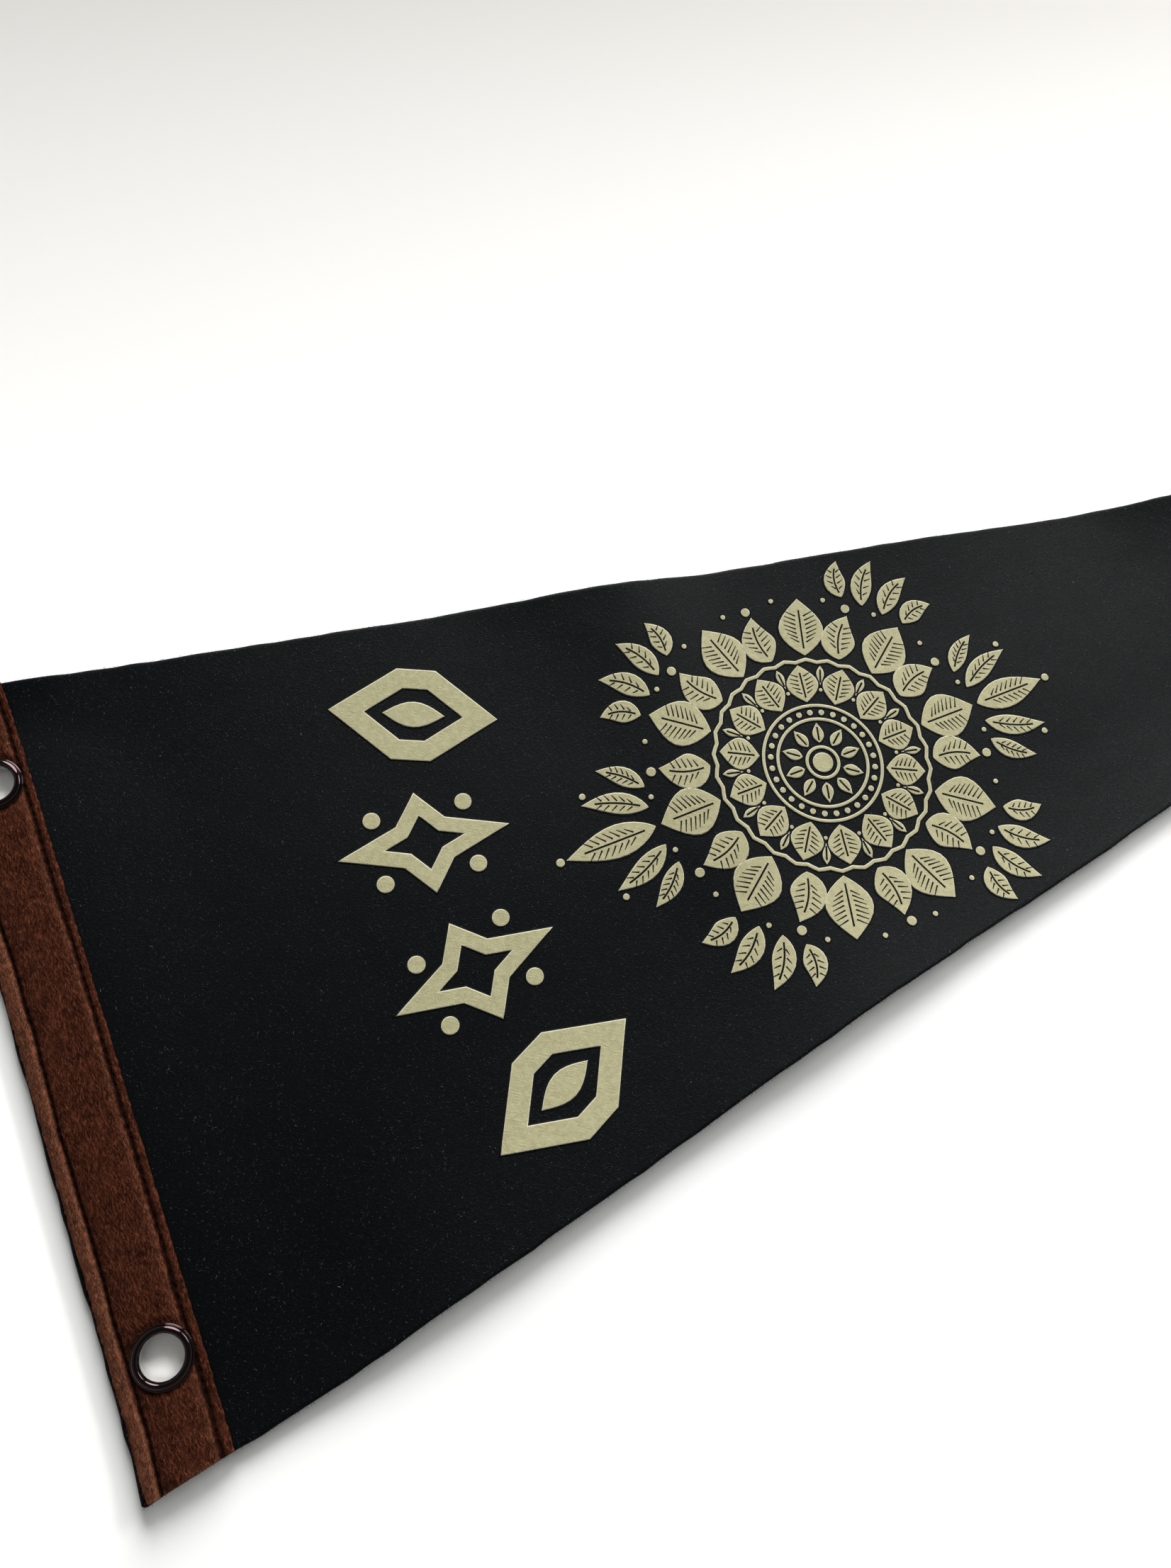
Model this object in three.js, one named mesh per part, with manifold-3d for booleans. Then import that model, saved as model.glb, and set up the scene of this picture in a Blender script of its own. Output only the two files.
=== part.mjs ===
// Pennant flag: a long felt triangle with a plush header strip and two eyelets, lying face up.
// Millimetres. X runs from the header to the tip, Y across the flag, Z up from the surface.
// The origin is the middle of the flag's footprint, on the surface that it lies on.
// "Along" is the distance from the header's outer edge, "across" is Y, and "share" is the place
// across the flag, from -1 at the lower long edge to 1 at the upper one.

import * as THREE from 'three';
import { mergeVertices } from 'three/addons/utils/BufferGeometryUtils.js';
import Module from 'manifold-3d';

const wasm = await Module();
wasm.setup();

// Size of the flag
const LENGTH = 690;
const HEADER_END_WIDTH = 228.6;
const TIP_WIDTH = 2.4;
const FELT_THICKNESS = 2;

// Header strip, laid on the felt and sewn down by two rows of stitches
const HEADER_WIDTH = 23.4;
const STRIP_THICKNESS = 1.8;
const STRIP_SET_BACK = 1;
const STRIP_END_INSET = 0.5;
const GAP = 0.3;

// Eyelets, set through the strip and the felt
const EYELETS = [
  { name: 'eyelet_lower', along: 13.8, across: -81.9 },
  { name: 'eyelet_upper', along: 13.8, across: 80.2 },
];
const BORE_RADIUS = 5.4;
const BARREL_WALL = 0.5;
const FLANGE_RADIUS = 7.8;
const FLANGE_HEIGHT = 1.7;
const BACK_ROLL_RADIUS = 7.2;
const BACK_ROLL_HEIGHT = 0.9;
const SEAT_DEPTH = 0.7;
const EYELET_SIDES = 40;
const HOLE_SIDES = 32;

// Fineness of the cloth
const STATION_STEP = 10;
const STRIP_STATIONS = 14;

// Height of the felt's underside along three lines of the flag, a row for each crest and dip.
// The edges stand off the surface in slow waves, the middle rises at two bends across the cloth.
const UPPER_EDGE = [
  { along: 0, value: 3.6 },
  { along: 24, value: 3.6 },
  { along: 56, value: 2.2 },
  { along: 150, value: 2 },
  { along: 207, value: 5.4 },
  { along: 246, value: 1.8 },
  { along: 308, value: 3.4 },
  { along: 376, value: 1.8 },
  { along: 438, value: 7.5 },
  { along: 560, value: 1 },
  { along: 690, value: 0 },
];
const MIDDLE = [
  { along: 0, value: 1.2 },
  { along: 24, value: 1.2 },
  { along: 62, value: 0 },
  { along: 178, value: 0 },
  { along: 213, value: 1.6 },
  { along: 250, value: 0 },
  { along: 386, value: 0 },
  { along: 440, value: 4 },
  { along: 520, value: 0 },
  { along: 690, value: 0 },
];
const LOWER_EDGE = [
  { along: 0, value: 2.6 },
  { along: 24, value: 2.6 },
  { along: 90, value: 5.6 },
  { along: 150, value: 4.8 },
  { along: 216, value: 6.8 },
  { along: 300, value: 4.6 },
  { along: 382, value: 4.2 },
  { along: 440, value: 7 },
  { along: 560, value: 1 },
  { along: 690, value: 0 },
];

// How far each long edge is cut in from the straight line, to the header's blunt corners
const UPPER_TRIM = [
  { along: 0, value: 2.2 },
  { along: 20, value: 0 },
  { along: 690, value: 0 },
];
const LOWER_TRIM = [
  { along: 0, value: 2.2 },
  { along: 50, value: 0 },
  { along: 120, value: 0.3 },
  { along: 230, value: 1.6 },
  { along: 330, value: 0 },
  { along: 690, value: 0 },
];

// Share of the half width where the cloth starts to curl up: near the edge at the header,
// nearer the middle farther on
const CURL_START = [
  { along: 0, value: 0.82 },
  { along: 24, value: 0.82 },
  { along: 96, value: 0.3 },
  { along: 690, value: 0.3 },
];
const HALF_SHARES = [0, 0.2, 0.4, 0.55, 0.7, 0.82, 0.88, 0.94, 1];

// Thickness of the strip across its width, as shares of the width and of the full thickness,
// a row for each crest and groove
const STRIP_PROFILE = [
  { along: 0, value: 0.6 },
  { along: 0.1, value: 0.95 },
  { along: 0.19, value: 0.5 },
  { along: 0.27, value: 1 },
  { along: 0.83, value: 1 },
  { along: 0.9, value: 0.5 },
  { along: 0.95, value: 0.65 },
  { along: 1, value: 0.35 },
];

// Value at a place in such a table, eased by a half cosine from each row to the next
function eased(rows, along) {
  const passed = rows.filter((row) => row.along < along).length;
  const next = THREE.MathUtils.clamp(passed, 1, rows.length - 1);
  const [low, high] = [rows[next - 1], rows[next]];
  const way = THREE.MathUtils.clamp((along - low.along) / (high.along - low.along), 0, 1);
  return THREE.MathUtils.lerp(low.value, high.value, (1 - Math.cos(Math.PI * way)) / 2);
}

// Y at a share of the half width, which runs straight from the header to the tip but for its trim
function acrossAt(along, share) {
  const straight = THREE.MathUtils.lerp(HEADER_END_WIDTH, TIP_WIDTH, along / LENGTH) / 2;
  return share * (straight - eased(share > 0 ? UPPER_TRIM : LOWER_TRIM, along));
}

// Height of the felt's underside: the middle line's, plus a curl that grows as a square to the edge
function underside(along, share) {
  const start = eased(CURL_START, along);
  const curl = Math.max(0, (Math.abs(share) - start) / (1 - start)) ** 2;
  const edge = eased(share > 0 ? UPPER_EDGE : LOWER_EDGE, along);
  return THREE.MathUtils.lerp(eased(MIDDLE, along), edge, curl);
}

const BOTH_SIDES = [...HALF_SHARES.slice(1).map((share) => -share).reverse(), ...HALF_SHARES];
const FELT_TOP = MIDDLE[0].value + FELT_THICKNESS;
const STRIP_BOTTOM = FELT_TOP + GAP;
const STRIP_TOP = STRIP_BOTTOM + STRIP_THICKNESS;
const SEAT_HEIGHT = STRIP_TOP - SEAT_DEPTH;
const FLANGE_BOTTOM = SEAT_HEIGHT + GAP;
const BARREL_RADIUS = BORE_RADIUS + BARREL_WALL;
const HOLE_RADIUS = BARREL_RADIUS + GAP;

// Closed sheet over a grid of stations along the flag and shares across it. The two height
// functions give its underside and its top at a place.
function sheet(stations, shares, low, high) {
  const across = shares.length;
  const layer = stations.length * across;
  const points = [];
  for (const height of [low, high]) {
    for (const along of stations) {
      for (const share of shares) {
        points.push(along - LENGTH / 2, acrossAt(along, share), height(along, share));
      }
    }
  }
  const triangles = [];
  const quad = (a, b, c, d) => triangles.push(a, b, c, a, c, d);
  for (let i = 0; i + 1 < stations.length; i++) {
    for (let j = 0; j + 1 < across; j++) {
      const a = i * across + j;
      quad(a, a + 1, a + across + 1, a + across);
      quad(layer + a, layer + a + across, layer + a + across + 1, layer + a + 1);
    }
    const [right, left] = [i * across, i * across + across - 1];
    quad(right, right + across, layer + right + across, layer + right);
    quad(left + across, left, layer + left, layer + left + across);
  }
  const last = layer - across;
  for (let j = 0; j + 1 < across; j++) {
    quad(j + 1, j, layer + j, layer + j + 1);
    quad(last + j, last + j + 1, layer + last + j + 1, layer + last + j);
  }
  const geometry = new THREE.BufferGeometry();
  geometry.setAttribute('position', new THREE.Float32BufferAttribute(points, 3));
  geometry.setIndex(triangles);
  return geometry;
}

function toSolid(geometry) {
  const bare = geometry.clone();
  bare.deleteAttribute('normal');
  bare.deleteAttribute('uv');
  const merged = mergeVertices(bare, 1e-4);
  const vertProperties = new Float32Array(merged.attributes.position.array);
  const triVerts = new Uint32Array(merged.index.array);
  return new wasm.Manifold(new wasm.Mesh({ numProp: 3, vertProperties, triVerts }));
}

function toGeometry(solid) {
  const mesh = solid.getMesh();
  const geometry = new THREE.BufferGeometry();
  geometry.setAttribute('position', new THREE.BufferAttribute(mesh.vertProperties, 3));
  geometry.setIndex(new THREE.BufferAttribute(mesh.triVerts, 1));
  return geometry;
}

// Upright cylinder at an eyelet's place, from one height to another
function plug({ along, across }, radius, from, to) {
  const geometry = new THREE.CylinderGeometry(radius, radius, to - from, HOLE_SIDES);
  geometry.rotateX(Math.PI / 2);
  geometry.translate(along - LENGTH / 2, across, (from + to) / 2);
  return toSolid(geometry);
}

function feltPennant() {
  const count = Math.ceil((LENGTH - HEADER_WIDTH) / STATION_STEP);
  const step = (LENGTH - HEADER_WIDTH) / count;
  const stations = [0, ...Array.from({ length: count + 1 }, (_, i) => HEADER_WIDTH + i * step)];
  const top = (along, share) => underside(along, share) + FELT_THICKNESS;
  let solid = toSolid(sheet(stations, BOTH_SIDES, underside, top));
  for (const place of EYELETS) {
    solid = solid.subtract(plug(place, HOLE_RADIUS, 0, STRIP_TOP));
  }
  return toGeometry(solid);
}

function headerStrip() {
  const width = HEADER_WIDTH - STRIP_SET_BACK;
  const shareOf = (along) => (along - STRIP_SET_BACK) / width;
  const crests = STRIP_PROFILE.map((row) => row.along);
  const even = Array.from({ length: STRIP_STATIONS + 1 }, (_, i) => i / STRIP_STATIONS);
  const far = even.filter((share) => crests.every((crest) => Math.abs(crest - share) > 0.02));
  const stations = [...crests, ...far].sort((a, b) => a - b)
    .map((share) => STRIP_SET_BACK + share * width);
  const end = 1 - STRIP_END_INSET / acrossAt(0, 1);
  const shares = BOTH_SIDES.map((share) => share * (Math.abs(share) === 1 ? end : 1));
  const low = (along, share) => underside(along, share) + FELT_THICKNESS + GAP;
  const high = (along, share) => low(along, share)
    + STRIP_THICKNESS * eased(STRIP_PROFILE, shareOf(along));
  let solid = toSolid(sheet(stations, shares, low, high));
  for (const place of EYELETS) {
    solid = solid.subtract(plug(place, HOLE_RADIUS, FELT_TOP, STRIP_TOP + 1));
    solid = solid.subtract(plug(place, FLANGE_RADIUS + 2 * GAP, SEAT_HEIGHT, STRIP_TOP + 1));
  }
  return toGeometry(solid);
}

// Section of an eyelet as radius and value: beaded rim and rounded dome in front, the barrel,
// and its end rolled outward behind the felt. The dome's crest has a narrow flat land.
function eyelet() {
  const front = (radius, height) => [radius, FLANGE_BOTTOM + height * FLANGE_HEIGHT];
  const back = (radius, height) => [radius, height * BACK_ROLL_HEIGHT];
  const section = [
    front(BARREL_RADIUS, 0),
    front(FLANGE_RADIUS, 0),
    front(FLANGE_RADIUS + 0.1, 0.2),
    front(FLANGE_RADIUS - 0.12, 0.38),
    front(FLANGE_RADIUS - 0.4, 0.44),
    front(FLANGE_RADIUS - 0.6, 0.6),
    front(FLANGE_RADIUS - 0.9, 0.84),
    front(FLANGE_RADIUS - 1.2, 0.97),
    front(FLANGE_RADIUS - 1.35, 1),
    front(BORE_RADIUS + 0.75, 1),
    front(BORE_RADIUS + 0.4, 0.92),
    front(BORE_RADIUS + 0.12, 0.7),
    front(BORE_RADIUS, 0.35),
    back(BORE_RADIUS, 0.7),
    back(BORE_RADIUS + 0.2, 0.2),
    back(BORE_RADIUS + 0.55, 0),
    back(BACK_ROLL_RADIUS - 0.5, 0),
    back(BACK_ROLL_RADIUS - 0.1, 0.25),
    back(BACK_ROLL_RADIUS, 0.65),
    back(BACK_ROLL_RADIUS - 0.2, 1),
    back(BARREL_RADIUS, 1),
    front(BARREL_RADIUS, 0),
  ];
  const points = section.map(([radius, height]) => new THREE.Vector2(radius, height));
  const geometry = new THREE.LatheGeometry(points, EYELET_SIDES);
  geometry.rotateX(Math.PI / 2);
  return geometry;
}

const blackFelt = new THREE.MeshStandardMaterial({ color: 0x12141a, roughness: 1, metalness: 0 });
const brownPlush = new THREE.MeshStandardMaterial({ color: 0x46261c, roughness: 1, metalness: 0 });
const darkNickel = new THREE.MeshStandardMaterial({ color: 0x55484e, roughness: 0.25, metalness: 1 });

function piece(name, geometry, material) {
  const mesh = new THREE.Mesh(geometry, material);
  mesh.name = name;
  return mesh;
}

const flag = new THREE.Group();
flag.add(piece('felt_pennant', feltPennant(), blackFelt));
flag.add(piece('header_strip', headerStrip(), brownPlush));
for (const { name, along, across } of EYELETS) {
  const ring = piece(name, eyelet(), darkNickel);
  ring.position.set(along - LENGTH / 2, across, 0);
  flag.add(ring);
}

export default flag;
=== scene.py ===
"""Looks of a felt pennant flag: black felt, a brown plush header strip, two eyelets and a print.

Lengths in the tables and functions are millimetres, turned to metres where a mesh is made.
X runs from the header to the tip, Y across the flag, Z up from the surface that it lies on.
"Along" is the distance from the header's outer edge, "across" the distance from the long axis.
"""

import math

import bpy
import numpy as np
from bpy.props import FloatProperty, FloatVectorProperty, IntProperty, PointerProperty
from mathutils import Matrix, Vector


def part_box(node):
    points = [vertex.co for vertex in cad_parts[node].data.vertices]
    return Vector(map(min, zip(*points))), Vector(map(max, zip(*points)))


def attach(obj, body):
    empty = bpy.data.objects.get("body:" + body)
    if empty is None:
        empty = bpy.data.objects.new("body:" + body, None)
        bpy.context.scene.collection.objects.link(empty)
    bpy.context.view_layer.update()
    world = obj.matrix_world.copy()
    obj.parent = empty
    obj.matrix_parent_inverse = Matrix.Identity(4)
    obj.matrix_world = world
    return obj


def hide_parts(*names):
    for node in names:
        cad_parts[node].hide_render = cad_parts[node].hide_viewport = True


bl_info = {
    "name": "Felt pennant flag",
    "version": (1, 0, 0),
    "blender": (4, 5, 0),
    "location": "View3D > Sidebar > Pennant",
    "description": "Builds a felt pennant flag with a plush header strip, eyelets and a print",
    "category": "Object",
}

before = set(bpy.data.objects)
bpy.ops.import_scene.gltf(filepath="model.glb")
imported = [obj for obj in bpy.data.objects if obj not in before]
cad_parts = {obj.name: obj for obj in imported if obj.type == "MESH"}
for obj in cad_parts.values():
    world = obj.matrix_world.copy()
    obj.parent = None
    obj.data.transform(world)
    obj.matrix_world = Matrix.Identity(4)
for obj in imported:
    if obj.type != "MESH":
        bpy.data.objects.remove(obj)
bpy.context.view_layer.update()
MM = 0.001

# Sizes read from the frame
FELT_LOW, FELT_HIGH = (np.array(corner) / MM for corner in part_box("felt_pennant"))
STRIP_LOW, STRIP_HIGH = (np.array(corner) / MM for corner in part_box("header_strip"))
LENGTH = FELT_HIGH[0] - FELT_LOW[0]
HEADER_WIDTH = STRIP_HIGH[0] - FELT_LOW[0]
STRIP_SET_BACK = STRIP_LOW[0] - FELT_LOW[0]
STRIP_WIDTH = HEADER_WIDTH - STRIP_SET_BACK
STRIP_END_INSET = FELT_HIGH[1] - STRIP_HIGH[1]


def eyelet_place(node):
    """Where an eyelet's axis is, along and across, and how high it reaches."""
    low, high = (np.array(corner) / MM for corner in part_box(node))
    return (low[0] + high[0]) / 2 - FELT_LOW[0], (low[1] + high[1]) / 2, high[2]


EYELETS = {name: eyelet_place(name)[:2] for name in ("eyelet_lower", "eyelet_upper")}
EYELET_TOP = eyelet_place("eyelet_lower")[2]

# Sizes that the solids are made with
HEADER_END_WIDTH = 228.6
TIP_WIDTH = 2.4
FELT_THICKNESS = 2.0
STRIP_THICKNESS = 1.8
GAP = 0.3
HOLE_RADIUS = 6.2
FLANGE_RADIUS = 7.8
FLANGE_BOTTOM = 4.9
SEAT_HEIGHT = 4.6
EYELET_SIDES = 128
HOLE_SIDES = 64
FELT_ROWS, FELT_COLUMNS = 290, 94
STRIP_ROWS, STRIP_COLUMNS = 76, 420
STRAND_RADII = (0.03, 0.055)
THREAD_RADIUS = 0.17
STITCH_SHARE = 0.86
STITCH_ARCH = 0.16

# Height of the felt's underside along three lines, a row for each crest and dip: along, height
UPPER_EDGE = (
    (0, 3.6), (24, 3.6), (56, 2.2), (150, 2), (207, 5.4), (246, 1.8), (308, 3.4), (376, 1.8),
    (438, 7.5), (560, 1), (690, 0),
)
MIDDLE = (
    (0, 1.2), (24, 1.2), (62, 0), (178, 0), (213, 1.6), (250, 0), (386, 0), (440, 4), (520, 0), (690, 0),
)
LOWER_EDGE = (
    (0, 2.6), (24, 2.6), (90, 5.6), (150, 4.8), (216, 6.8), (300, 4.6), (382, 4.2), (440, 7),
    (560, 1), (690, 0),
)

# How far each long edge is cut in from the straight line: along, trim
UPPER_TRIM = ((0, 2.2), (20, 0), (690, 0))
LOWER_TRIM = ((0, 2.2), (50, 0), (120, 0.3), (230, 1.6), (330, 0), (690, 0))

# Share of the half width where the cloth starts to curl up: along, share
CURL_START = ((0, 0.82), (24, 0.82), (96, 0.3), (690, 0.3))

# Thickness of the strip across its width: share of the width, share of the full thickness
STRIP_PROFILE = (
    (0, 0.55), (0.05, 0.85), (0.13, 0.9), (0.175, 0.42), (0.2, 0.36), (0.235, 0.96), (0.3, 1),
    (0.8, 1), (0.865, 0.96), (0.895, 0.4), (0.912, 0.38), (0.945, 0.68), (0.97, 0.62), (1, 0.35),
)
SEAM_SHARES = (0.19, 0.903)
CORNER_RADIUS = 1.4
END_COVER = 0.4
STITCH_PITCH = 3.0

# The camera, from a perspective fit of the photograph: where it is in the flag's frame, and its
# own right, up and backward directions
CAMERA_PLACE = (-255.8, -67.5, 327.5)
CAMERA_AXES = (
    (0.90996, 0.33402, -0.24575),
    (-0.39288, 0.88405, -0.25318),
    (0.13269, 0.32694, 0.93568),
)
PHOTO_HEIGHT = 2213
FOCAL_PIXELS = 1578.2
SENSOR = 36.0

# The lights' directions, distances and oval sizes, in metres
KEY_LIGHT = ((0.42, 0.86, 0.6), 3.0, (1.95, 1.95))
SIDE_LIGHT = ((0.9, 0.31, 0.74), 1.2, (0.62, 0.08))
LIT_PLACE = (-0.12, 0.0, 0.0)


# Shapes of the cloth


def eased(rows, place):
    """Value at a place in a table of (place, value) rows, eased by a half cosine from row to row."""
    at, value = np.array(rows, float).T
    row = np.clip(np.searchsorted(at, place), 1, len(at) - 1)
    way = np.clip((place - at[row - 1]) / (at[row] - at[row - 1]), 0, 1)
    return value[row - 1] + (value[row] - value[row - 1]) * (1 - np.cos(np.pi * way)) / 2


def noise(x, y, cell, seed):
    """Smooth noise from -1 to 1: random values on a square lattice, blended between its points."""
    size = 256
    lattice = np.random.default_rng(seed).uniform(-1, 1, (size, size))
    u, v = np.asarray(x) / cell, np.asarray(y) / cell
    i, j = np.floor(u).astype(int), np.floor(v).astype(int)
    a, b = u - i, v - j
    a, b = a * a * (3 - 2 * a), b * b * (3 - 2 * b)
    i, j, right, up = i % size, j % size, (i + 1) % size, (j + 1) % size
    low = lattice[i, j] * (1 - a) + lattice[right, j] * a
    high = lattice[i, up] * (1 - a) + lattice[right, up] * a
    return low * (1 - b) + high * b


def half_width(along, side):
    """Distance from the long axis to a long edge: side is over 0 for the upper one."""
    straight = (HEADER_END_WIDTH + (TIP_WIDTH - HEADER_END_WIDTH) * np.asarray(along) / LENGTH) / 2
    return straight - np.where(np.asarray(side) > 0, eased(UPPER_TRIM, along), eased(LOWER_TRIM, along))


def corner_cut(from_end, radius):
    """How far a rounded corner stays inside a square one: the radius less a circle's half chord."""
    return radius - np.sqrt(radius**2 - np.clip(radius - from_end, 0, radius) ** 2)


def underside(along, across):
    """The middle line's height, plus a curl that grows as a square towards each long edge."""
    share = np.clip(across / half_width(along, across), -1, 1)
    start = eased(CURL_START, along)
    curl = (np.maximum(0, np.abs(share) - start) / (1 - start)) ** 2
    edge = np.where(share > 0, eased(UPPER_EDGE, along), eased(LOWER_EDGE, along))
    middle = eased(MIDDLE, along)
    return middle + (edge - middle) * curl


def felt_top(along, across):
    """Underside plus the felt's thickness and a faint unevenness, which is left out at the header."""
    clear = np.clip((along - HEADER_WIDTH) / 12, 0, 1)
    uneven = 0.12 * noise(along, across, 31, 1) + 0.05 * noise(along, across, 7, 2)
    return underside(along, across) + FELT_THICKNESS + clear * uneven


def from_eyelets(along, across):
    """Distance to the nearest eyelet's axis, and the direction away from it."""
    places = np.array(list(EYELETS.values()))
    gaps = np.stack([along - places[:, 0, None], across - places[:, 1, None]], axis=-1)
    lengths = np.linalg.norm(gaps, axis=-1)
    nearest = lengths.argmin(axis=0)
    picked = np.arange(len(nearest))
    return lengths[nearest, picked], gaps[nearest, picked] / lengths[nearest, picked, None]


def strayed(share, across):
    """Shares of the strip's width, moved as its seams stray: slow and quick noise, and a drift of
    the far seam near the lower end, all faded out by a half sine at the strip's borders."""
    wander = 0.03 * noise(across, 0 * across, 23, 3) + 0.012 * noise(across, 0 * across, 4, 4)
    drift = 0.095 * np.clip((-across - 30) / 70, 0, 1) * share**2
    return share + (wander + drift) * np.sin(np.pi * np.clip(share, 0, 1))


def from_seams(share):
    """Distance from the nearer seam at a share of the strip's width."""
    return np.minimum(abs(share - SEAM_SHARES[0]), abs(share - SEAM_SHARES[1])) * STRIP_WIDTH


def painted_band_light(share):
    """Painted light and shade across the strip, under 0 where it is darker: painted shade beside the
    seams and next to the felt, painted light on the margin and where the main band turns over to the far
    seam."""
    at = (0, 0.15, 0.185, 0.2, 0.28, 0.5, 0.8, 0.862, 0.885, 0.91, 1)
    painted_tone = (0.26, 0.3, 0.1, -0.42, -0.24, -0.05, 0.02, 0.2, -0.16, -0.3, -0.22)
    return np.interp(share, at, painted_tone)


def strip_thickness(along, across):
    """The profile across the strip, its seams straying a little and pulled in at each stitch,
    with lumps of pile, pressed down to the eyelets' seats."""
    share = strayed((along - STRIP_SET_BACK) / STRIP_WIDTH, across)
    body = eased(STRIP_PROFILE, np.clip(share, 0, 1))
    pull = sum(np.exp(-(((share - seam) / 0.055) ** 2)) for seam in SEAM_SHARES)
    stitch = 0.07 * np.cos(2 * np.pi * across / STITCH_PITCH) * pull
    lumps = 0.05 * noise(along, across, 1.7, 5) + 0.06 * noise(along, across / 2, 4.3, 6)
    depth = STRIP_THICKNESS * (body + stitch + lumps * np.clip(body, 0, 1))
    away = from_eyelets(along.ravel(), across.ravel())[0].reshape(along.shape) - FLANGE_RADIUS - 0.3
    seat = SEAT_HEIGHT - eased(MIDDLE, 0) - FELT_THICKNESS - GAP
    pressed = seat + 0.5 * np.clip(away, 0, 3)
    return np.clip(np.minimum(depth, pressed), 0.3, STRIP_THICKNESS * 1.08)


def strip_top(along, across):
    """Underside, plus the felt's thickness, the gap and the strip's own thickness."""
    return underside(along, across) + FELT_THICKNESS + GAP + strip_thickness(along, across)


def cloth_grid(start, length, near_edge, rows, columns, end_inset=0.0):
    """Places over a sheet, closer together near its edges: along, across, and how far each end of
    its rows is cut in from the long edges."""
    near_edge = np.array(near_edge)
    inside = np.linspace(near_edge[-1], length - near_edge[-1], rows)
    from_start = np.concatenate([near_edge[:-1], inside, length - near_edge[-2::-1]])[:, None]
    along = start + from_start
    cut_off = corner_cut(from_start, CORNER_RADIUS) + end_inset
    upper, lower = (half_width(along, side) - cut_off for side in (1, -1))
    close = near_edge * np.minimum(1, upper / 4)
    t = np.linspace(0, 1, columns)[None, 1:-1]
    inner = (close[:, -1:] - lower) * (1 - t) + (upper - close[:, -1:]) * t
    across = np.concatenate([close - lower, inner, (upper - close)[:, ::-1]], axis=1)
    return np.broadcast_to(along, across.shape), across, cut_off


# Meshes from whole arrays


def skin(top, bottom, ring=False):
    """Closed solid between two grids of points, shaped (rows, columns, 3). Rows run along it and
    columns from its right side to its left; in a ring the last row joins the first again."""
    rows, columns = top.shape[:2]
    index = np.arange(rows * columns).reshape(rows, columns)
    if ring:
        index = np.vstack([index, index[:1]])
    a, b, c, d = index[:-1, :-1], index[1:, :-1], index[1:, 1:], index[:-1, 1:]
    upper = np.stack([a, b, c, d], axis=-1).reshape(-1, 4)
    lower = upper[:, ::-1] + rows * columns
    borders = [index[:, 0], index[::-1, -1]]
    if not ring:
        borders = [np.concatenate([index[:, 0], index[-1, 1:], index[-2::-1, -1], index[0, -2::-1]])]
    walls = [
        np.stack([loop[:-1], loop[:-1] + rows * columns, loop[1:] + rows * columns, loop[1:]], axis=-1)
        for loop in borders
    ]
    points = np.concatenate([top.reshape(-1, 3), bottom.reshape(-1, 3)])
    return points, np.concatenate([upper, lower, *walls])


def joined(solids):
    """Points and faces of several solids, as one."""
    offsets = np.cumsum([0] + [len(points) for points, _ in solids[:-1]])
    points = np.concatenate([points for points, _ in solids])
    return points, np.concatenate([faces + offset for (_, faces), offset in zip(solids, offsets)])


def strands(root, tip, bend, radius):
    """Thin closed spindles: a root point, three points round a middle moved by bend, a tip point."""
    middle = (root + tip) / 2 + bend
    run = tip - root
    run /= np.linalg.norm(run, axis=1, keepdims=True)
    side = np.cross(run, (0.0, 0.0, 1.0))
    side /= np.linalg.norm(side, axis=1, keepdims=True)
    rise = np.cross(side, run)
    turn = np.radians((0, 120, 240))[None, :, None]
    ring = np.cos(turn) * side[:, None] + np.sin(turn) * rise[:, None]
    ring = middle[:, None] + radius[:, None, None] * ring
    points = np.concatenate([root[:, None], ring, tip[:, None]], axis=1).reshape(-1, 3)
    corners = np.array([(0, 1, 2), (0, 2, 3), (0, 3, 1), (4, 2, 1), (4, 3, 2), (4, 1, 3)])
    faces = (5 * np.arange(len(root))[:, None, None] + corners).reshape(-1, 3)
    return points, faces


def revolved(section, centre, sides):
    """A closed section of (radius, height) points carried round an upright axis."""
    turn = np.linspace(0, 2 * np.pi, sides, endpoint=False)[:, None]
    radius, height = section[:, 0][None], section[:, 1][None]
    x, y = centre[0] + radius * np.cos(turn), centre[1] + radius * np.sin(turn)
    points = np.stack([x, y, np.broadcast_to(height, x.shape)], axis=-1).reshape(-1, 3)
    index = np.arange(len(points)).reshape(x.shape)
    index = np.pad(index, ((0, 1), (0, 1)), mode="wrap")
    faces = np.stack([index[:-1, :-1], index[1:, :-1], index[1:, 1:], index[:-1, 1:]], axis=-1)
    return points, faces.reshape(-1, 4)


def rounded(section, rounds):
    """A closed section with its corners cut at a quarter and three quarters of each side, in rounds."""
    for _ in range(rounds):
        after = np.roll(section, -1, axis=0)
        section = np.stack([0.75 * section + 0.25 * after, 0.25 * section + 0.75 * after], axis=1)
        section = section.reshape(-1, 2)
    return section


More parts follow.
